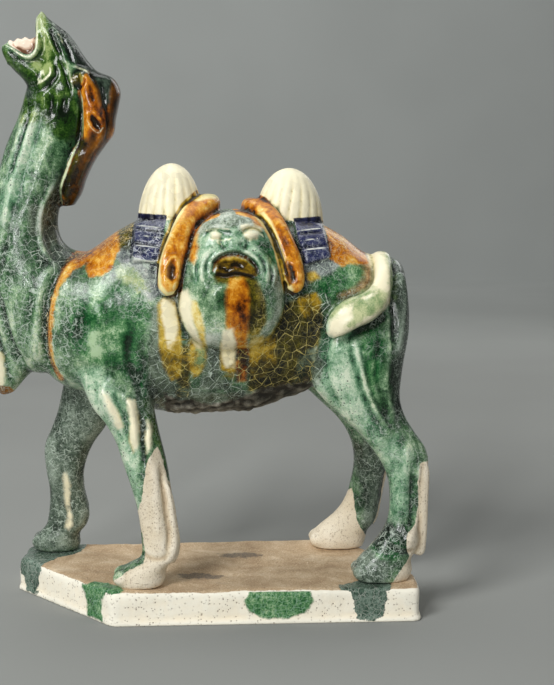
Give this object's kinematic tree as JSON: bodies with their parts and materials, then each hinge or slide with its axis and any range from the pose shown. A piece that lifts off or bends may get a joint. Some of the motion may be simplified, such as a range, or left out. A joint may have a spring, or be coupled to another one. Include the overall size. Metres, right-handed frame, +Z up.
{
  "type": "sancai camel figure",
  "caption": "Standing two-humped pack camel in three-colour glazed earthenware, head raised and mouth open, with saddle bags, luted to a hand-cut slab.",
  "frame": {"origin": "on the slab's underside, below the middle of the camel's belly", "axes": "+Z up, the camel faces -X, its left side is towards -Y"},
  "size_m": [0.2665, 0.115, 0.3548],
  "materials": {
    "glaze": "three-colour lead glaze on earthenware: mint to deep green over the body, amber on mane and straps, cobalt tiles, cream unglazed humps, shanks and feet, crazed all over",
    "biscuit": "unglazed cream earthenware, pinholed, with a brown dusty top and green glaze runs on the sides"
  },
  "bodies": {
    "root": {"camel": "glaze", "plinth": "biscuit"}
  },
  "joints": []
}
